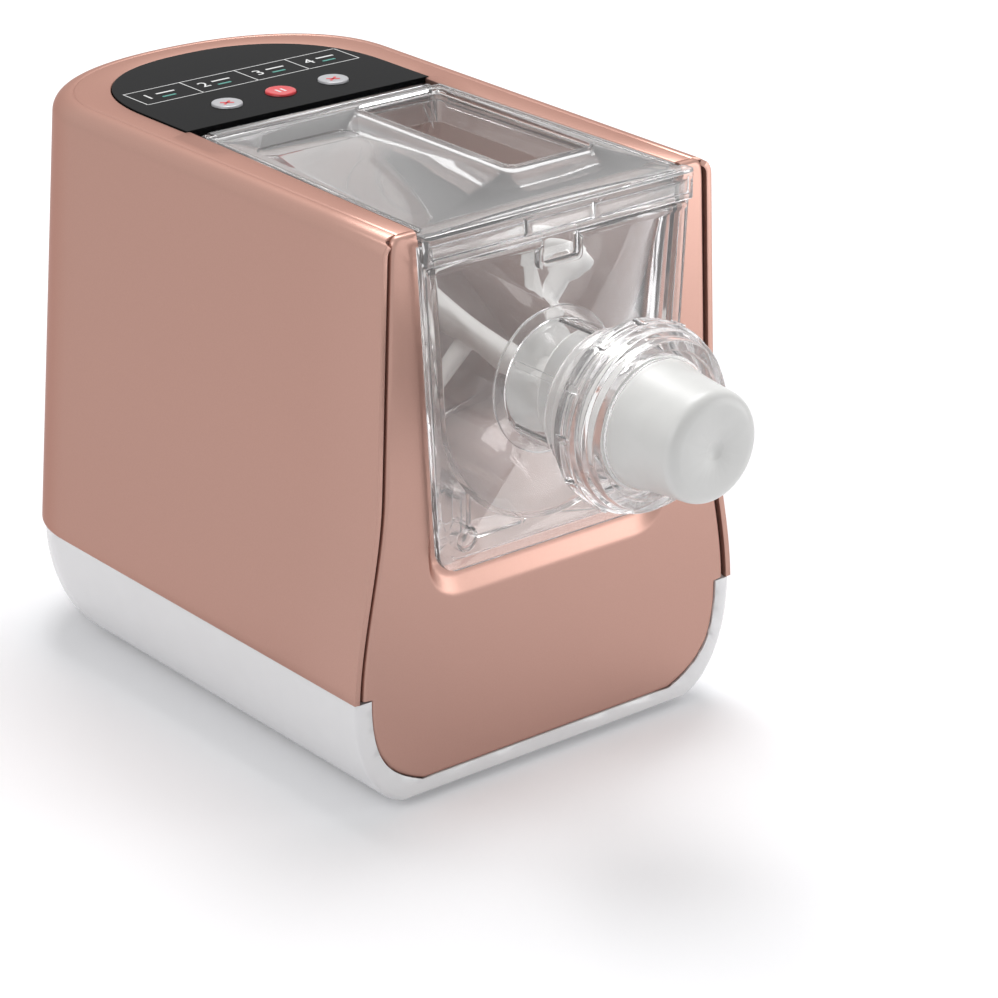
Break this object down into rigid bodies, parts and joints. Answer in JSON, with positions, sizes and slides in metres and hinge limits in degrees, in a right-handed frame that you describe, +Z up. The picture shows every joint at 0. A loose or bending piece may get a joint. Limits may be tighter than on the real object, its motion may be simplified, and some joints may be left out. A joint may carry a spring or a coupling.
{
  "type": "electric pasta maker",
  "caption": "Electric pasta maker: rose housing on a white base, clear pull-out mixing bowl with hinged lid, screw extruder with ring nut and die, push buttons on a black panel.",
  "frame": {"origin": "on the table under the middle of the whole machine, nozzle included", "axes": "+Z up, the front face and the nozzle point along -Y, +X is to the viewer's right from the front"},
  "size_m": [0.238, 0.444, 0.2914],
  "materials": {
    "rose_shell": "satin metallic rose",
    "white_gloss": "gloss",
    "white_food": "satin",
    "black_gloss": "gloss",
    "black_plastic": "matte",
    "grey_plastic": "matte",
    "silver_button": "satin",
    "red_button": "gloss",
    "clear_plastic": "clear gloss",
    "rubber": "matte",
    "silicone": "satin",
    "steel": "bright",
    "brass": "bright",
    "copper": "enamelled wire",
    "gear_plastic": "natural",
    "circuit_board": "solder mask",
    "cast_metal": "die cast"
  },
  "bodies": {
    "housing": {"base_tray": "white_gloss", "rubber_feet": "rubber", "base_screws": "steel", "body_shell": "rose_shell", "front_panel": "rose_shell", "panel_screws": "steel", "bay_liner": "rose_shell", "liner_screws": "steel", "control_panel": "black_gloss", "button_frame": "grey_plastic", "frame_screws": "steel", "control_board": "circuit_board", "power_board": "circuit_board", "board_screws": "steel", "mains_inlet": "black_plastic", "inlet_pins": "brass", "lid_sensor": "black_plastic", "gearbox_case": "cast_metal", "gearbox_cover": "cast_metal", "gearbox_screws": "steel", "output_bushes": "brass", "idler_pin": "steel", "motor_case": "steel", "motor_end_cap": "black_plastic", "field_core": "steel", "field_coils": "copper", "motor_bushes": "brass", "motor_screws": "steel", "motor_saddle": "rubber", "start_spring": "steel", "stop_spring": "steel", "mode_spring": "steel"},
    "start_key": {"start_button": "silver_button"},
    "stop_key": {"stop_button": "red_button"},
    "mode_key": {"mode_button": "silver_button"},
    "drive": {"drive_coupler": "steel", "output_gear": "gear_plastic"},
    "idler": {"idler_gear": "gear_plastic"},
    "rotor": {"motor_rotor": "steel", "motor_pinion": "steel", "cooling_fan": "black_plastic"},
    "bowl": {"mixing_bowl": "clear_plastic", "extruder_barrel": "clear_plastic", "shaft_seal": "silicone", "hinge_rod": "steel"},
    "lid_body": {"lid": "clear_plastic"},
    "mixer": {"mixing_shaft": "steel", "mixing_paddle": "white_food", "extruder_screw": "white_food"},
    "die": {"die_cap": "white_food", "strand_die": "white_food", "die_gasket": "silicone"},
    "nut": {"ring_nut": "clear_plastic"}
  },
  "joints": [
    {"name": "start_press", "type": "slide", "parent": "housing", "child": "start_key", "axis": [0, 0, -1], "range_m": [0, 0.001], "stiffness_N_per_m": 800, "springref_m": -0.001, "deforming": ["start_spring"]},
    {"name": "stop_press", "type": "slide", "parent": "housing", "child": "stop_key", "axis": [0, 0, -1], "range_m": [0, 0.001], "stiffness_N_per_m": 800, "springref_m": -0.001, "deforming": ["stop_spring"]},
    {"name": "mode_press", "type": "slide", "parent": "housing", "child": "mode_key", "axis": [0, 0, -1], "range_m": [0, 0.001], "stiffness_N_per_m": 800, "springref_m": -0.001, "deforming": ["mode_spring"]},
    {"name": "drive_spin", "type": "hinge", "parent": "housing", "child": "drive", "pos_m": [0, 0.09, 0.2], "axis": [0, 1, 0], "continuous": true},
    {"name": "idler_spin", "type": "hinge", "parent": "housing", "child": "idler", "pos_m": [0, 0.1, 0.1475], "axis": [0, 1, 0], "continuous": true},
    {"name": "motor_spin", "type": "hinge", "parent": "housing", "child": "rotor", "pos_m": [0, 0.15, 0.1115], "axis": [0, 1, 0], "continuous": true},
    {"name": "bowl_slide", "type": "slide", "parent": "housing", "child": "bowl", "axis": [0, -1, 0], "range_m": [0, 0.19]},
    {"name": "lid_hinge", "type": "hinge", "parent": "bowl", "child": "lid_body", "pos_m": [0, 0.0745, 0.2843], "axis": [-1, 0, 0], "range_deg": [0, 85]},
    {"name": "mixer_spin", "type": "hinge", "parent": "bowl", "child": "mixer", "pos_m": [0, 0, 0.2], "axis": [0, 1, 0], "continuous": true},
    {"name": "die_slide", "type": "slide", "parent": "bowl", "child": "die", "axis": [0, -1, 0], "range_m": [0, 0.06]},
    {"name": "nut_turn", "type": "hinge", "parent": "die", "child": "nut", "pos_m": [0, -0.167, 0.2], "axis": [0, 1, 0], "range_deg": [0, 90]}
  ],
  "couplings": [
    {"joint": "idler_spin", "follows": "drive_spin", "ratio": -6},
    {"joint": "motor_spin", "follows": "drive_spin", "ratio": 30},
    {"joint": "mixer_spin", "follows": "drive_spin", "ratio": 1}
  ]
}
